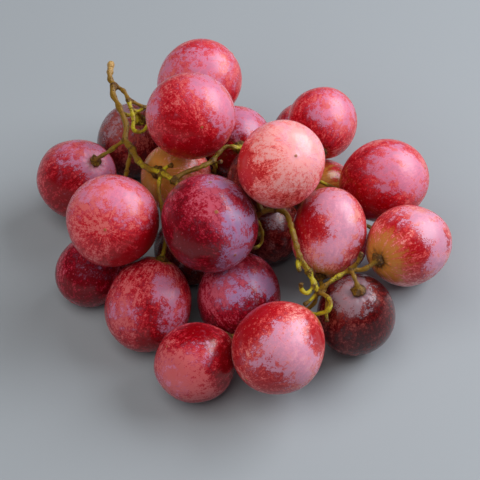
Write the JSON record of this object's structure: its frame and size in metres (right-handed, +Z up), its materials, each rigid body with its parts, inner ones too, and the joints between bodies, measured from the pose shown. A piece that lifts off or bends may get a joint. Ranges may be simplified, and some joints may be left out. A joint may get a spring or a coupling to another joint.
{
  "type": "bunch of red grapes",
  "caption": "Small loose bunch of round red table grapes on a branched yellow-green stem, lying on its lowest berries on a flat surface.",
  "frame": {"origin": "middle of the bunch's box, on the flat surface that it lies on", "axes": "+Z up, -Y towards the viewer in front of the bunch, +X to that viewer's right"},
  "size_m": [0.1228, 0.1234, 0.0643],
  "materials": {
    "stem": "matte",
    "skin_coral": "satin",
    "skin_red": "satin",
    "skin_crimson": "satin",
    "skin_plum": "satin",
    "skin_maroon": "satin"
  },
  "bodies": {
    "root": {"stem": "stem", "berry_crown_back": "skin_red", "berry_crown": "skin_red", "berry_left_side": "skin_crimson", "berry_left_front": "skin_red", "berry_centre_dark": "skin_plum", "berry_centre_pink": "skin_coral", "berry_back_right": "skin_red", "berry_right_back": "skin_red", "berry_right_side": "skin_coral", "berry_right_middle": "skin_coral", "berry_right_front": "skin_maroon", "berry_front_right": "skin_coral", "berry_front_left": "skin_crimson", "berry_left_low": "skin_crimson", "berry_centre_low": "skin_plum", "berry_left_under": "skin_plum", "berry_back_left": "skin_maroon", "berry_back_centre": "skin_crimson", "berry_under_crown": "skin_coral", "berry_centre_under": "skin_maroon", "berry_back_under": "skin_crimson", "berry_middle_under": "skin_maroon", "berry_right_under": "skin_crimson", "berry_right_inner": "skin_plum", "berry_back_low": "skin_crimson", "berry_inner_back": "skin_maroon", "berry_inner_core": "skin_plum", "berry_centre_inner": "skin_maroon", "berry_back_base": "skin_crimson"}
  },
  "joints": []
}
